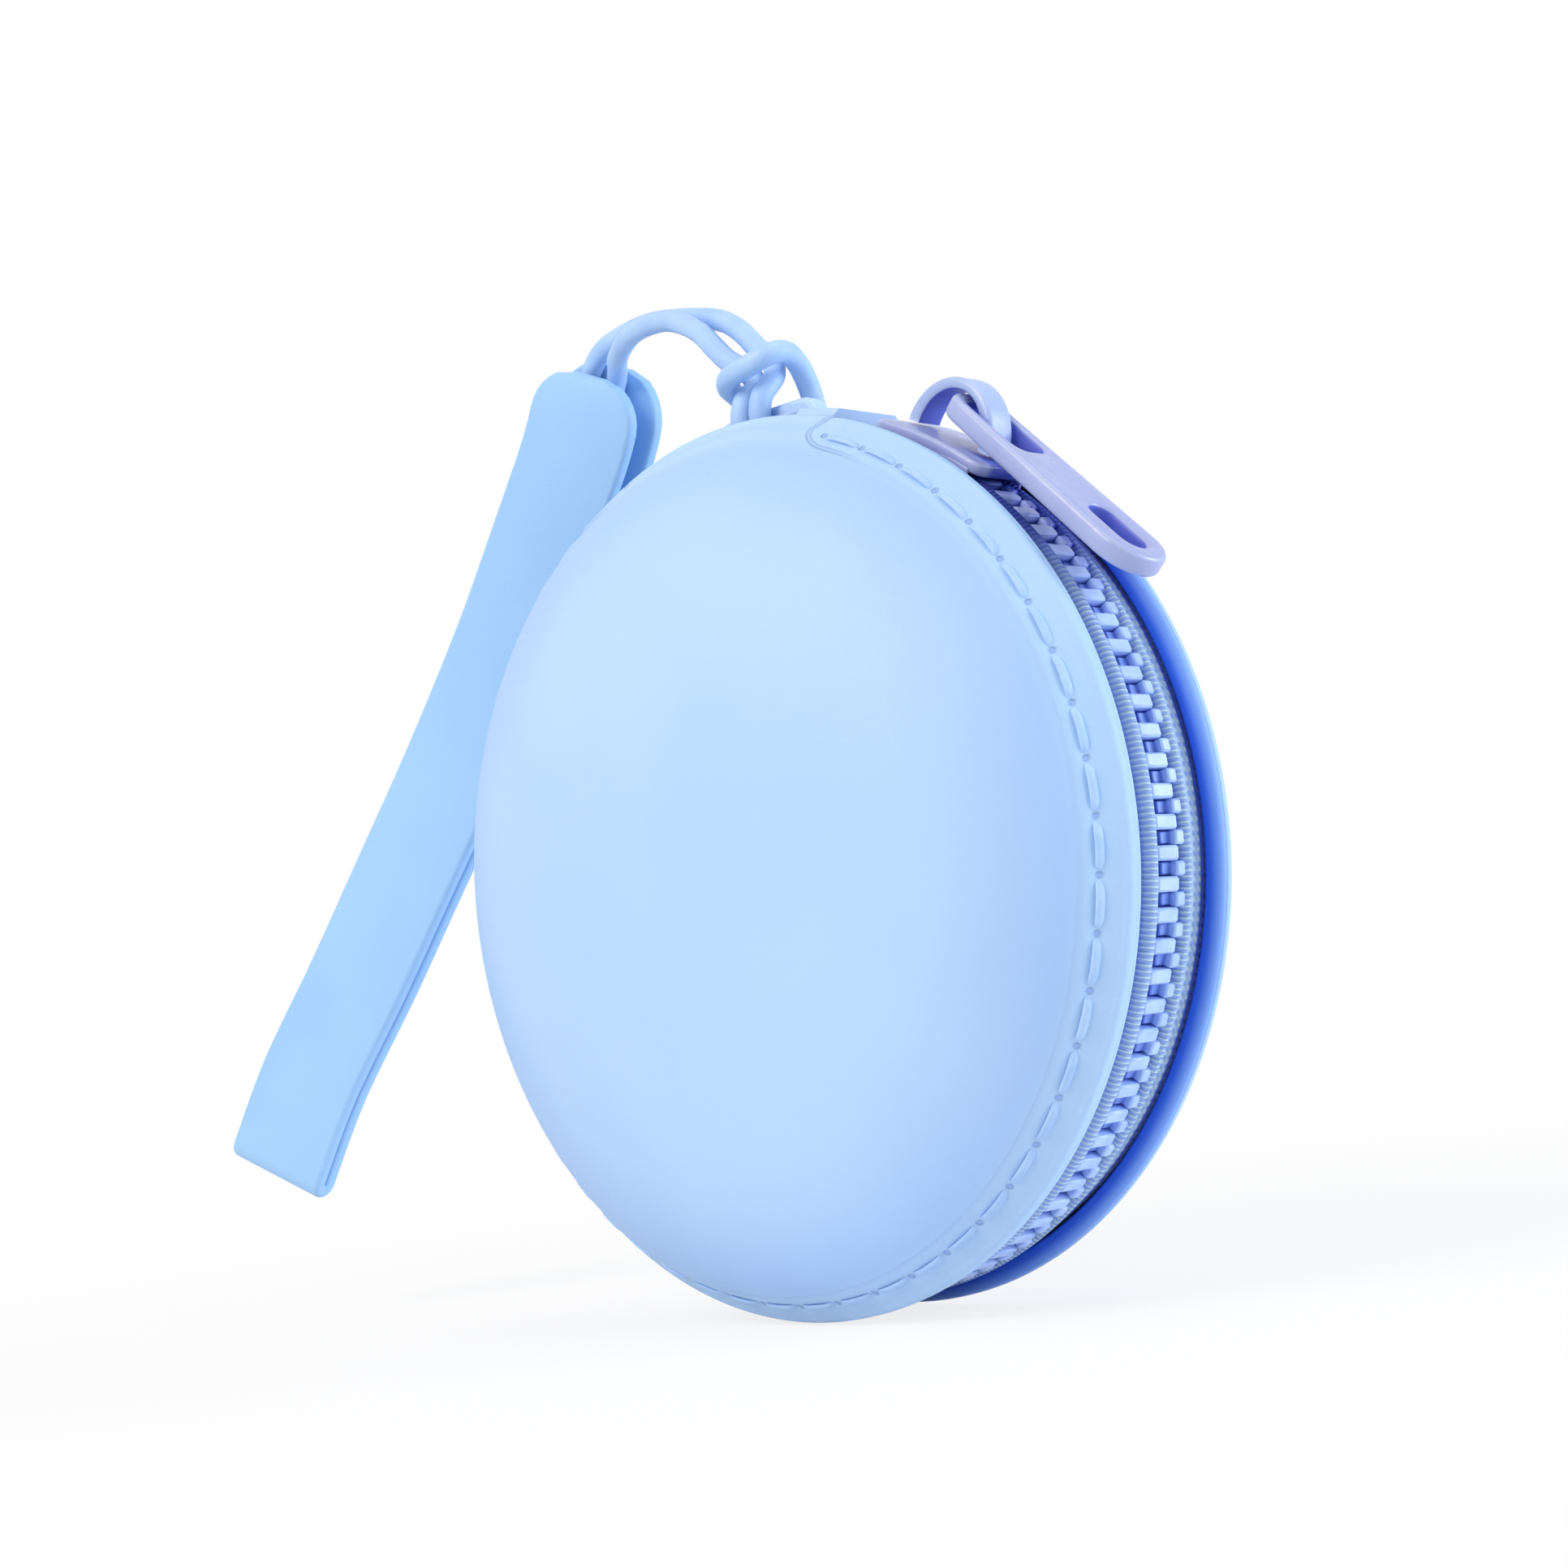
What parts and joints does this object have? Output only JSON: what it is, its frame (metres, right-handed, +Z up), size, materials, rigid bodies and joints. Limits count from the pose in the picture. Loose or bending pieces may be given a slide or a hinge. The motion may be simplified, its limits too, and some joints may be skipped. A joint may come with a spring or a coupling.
{
  "type": "coin holder",
  "caption": "Round zipped coin holder with two domed halves, a zip slider with a flat puller, and a folded wrist strap that hangs from a hitched cord.",
  "frame": {"origin": "middle of the hole under the lug's bar, at the top of the case, in the zip's plane", "axes": "+Z up through the lug, +Y from the front dome to the rear dome (the case's round axis), +X to the slider's side"},
  "size_m": [0.139, 0.0414, 0.1036],
  "materials": {
    "shell": "smooth matte silicone",
    "web": "smooth matte silicone",
    "tape": "woven zip tape",
    "teeth": "moulded zip teeth",
    "metal": "satin lavender paint on a zinc casting",
    "thread": "seam thread",
    "cord": "round silicone cord",
    "strap": "smooth matte silicone"
  },
  "bodies": {
    "back_half": {"back_shell": "shell", "hinge_web": "web", "strap_lug": "web", "zip_end_tab_start": "web", "zip_end_tab_end": "web", "zip_tape_back": "tape", "teeth_back": "teeth", "top_stop_back": "metal", "bottom_stop": "metal", "stitching_back": "thread"},
    "front_half": {"front_shell": "shell", "zip_tape_front": "tape", "teeth_front": "teeth", "top_stop_front": "metal", "stitching_front": "thread"},
    "slider": {"slider_body": "metal", "slider_crown": "metal"},
    "puller": {"puller": "metal"},
    "cord": {"strap_cord": "cord"},
    "strap": {"wrist_strap": "strap"}
  },
  "joints": [
    {"name": "case_opening", "type": "hinge", "parent": "back_half", "child": "front_half", "pos_m": [0, -0.00535, 0.0012], "axis": [-1, 0, 0], "range_deg": [0, 90]},
    {"name": "slider_run", "type": "hinge", "parent": "back_half", "child": "slider", "pos_m": [0, 0, -0.0416], "axis": [0, 1, 0], "range_deg": [0, 278], "deforming": ["teeth_back", "teeth_front"]},
    {"name": "puller_flip", "type": "hinge", "parent": "slider", "child": "puller", "pos_m": [0.02448, 0, -0.00242], "axis": [0, -1, 0], "range_deg": [0, 150]},
    {"name": "cord_swing", "type": "hinge", "parent": "back_half", "child": "cord", "pos_m": [0, 0, 0.0023], "axis": [1, 0, 0], "range_deg": [0, 15]},
    {"name": "strap_swing", "type": "hinge", "parent": "cord", "child": "strap", "pos_m": [-0.0342, 0.00732, 0.0101], "axis": [-0.1537, 0.9781, 0.1404], "range_deg": [-10, 60]}
  ]
}
